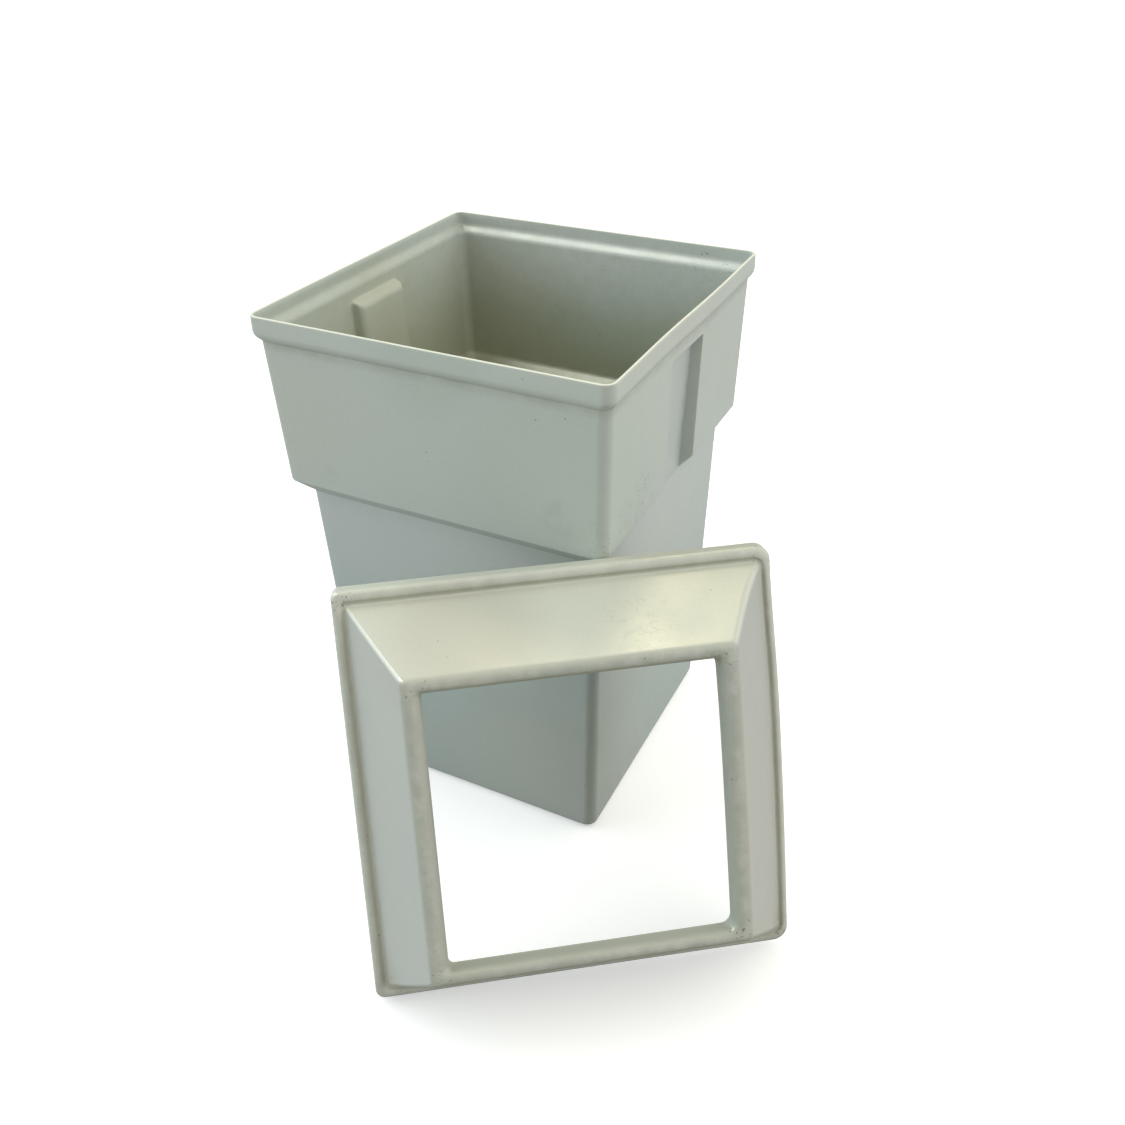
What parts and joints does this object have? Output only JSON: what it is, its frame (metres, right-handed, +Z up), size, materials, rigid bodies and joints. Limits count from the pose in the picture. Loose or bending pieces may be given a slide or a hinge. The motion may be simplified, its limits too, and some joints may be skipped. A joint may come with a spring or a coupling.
{
  "type": "plaster casting mould",
  "caption": "Open square plastic mould for casting plaster, with a tapered body, stepped collar and outset lip, and a loose raised square frame leaning on it.",
  "frame": {"origin": "centre of the mould body's base, on the floor", "axes": "+Z up through the open rim, +X and -X through the two walls with slots"},
  "size_m": [0.602, 0.6562, 0.584],
  "materials": {
    "body_sheet": "satin",
    "frame_sheet": "satin"
  },
  "bodies": {
    "body": {"mould_body": "body_sheet"},
    "frame": {"top_frame": "frame_sheet"}
  },
  "joints": [
    {"name": "frame_away", "type": "slide", "parent": "body", "child": "frame", "axis": [0.5577, -0.83, 0], "range_m": [0, 0.3]}
  ]
}
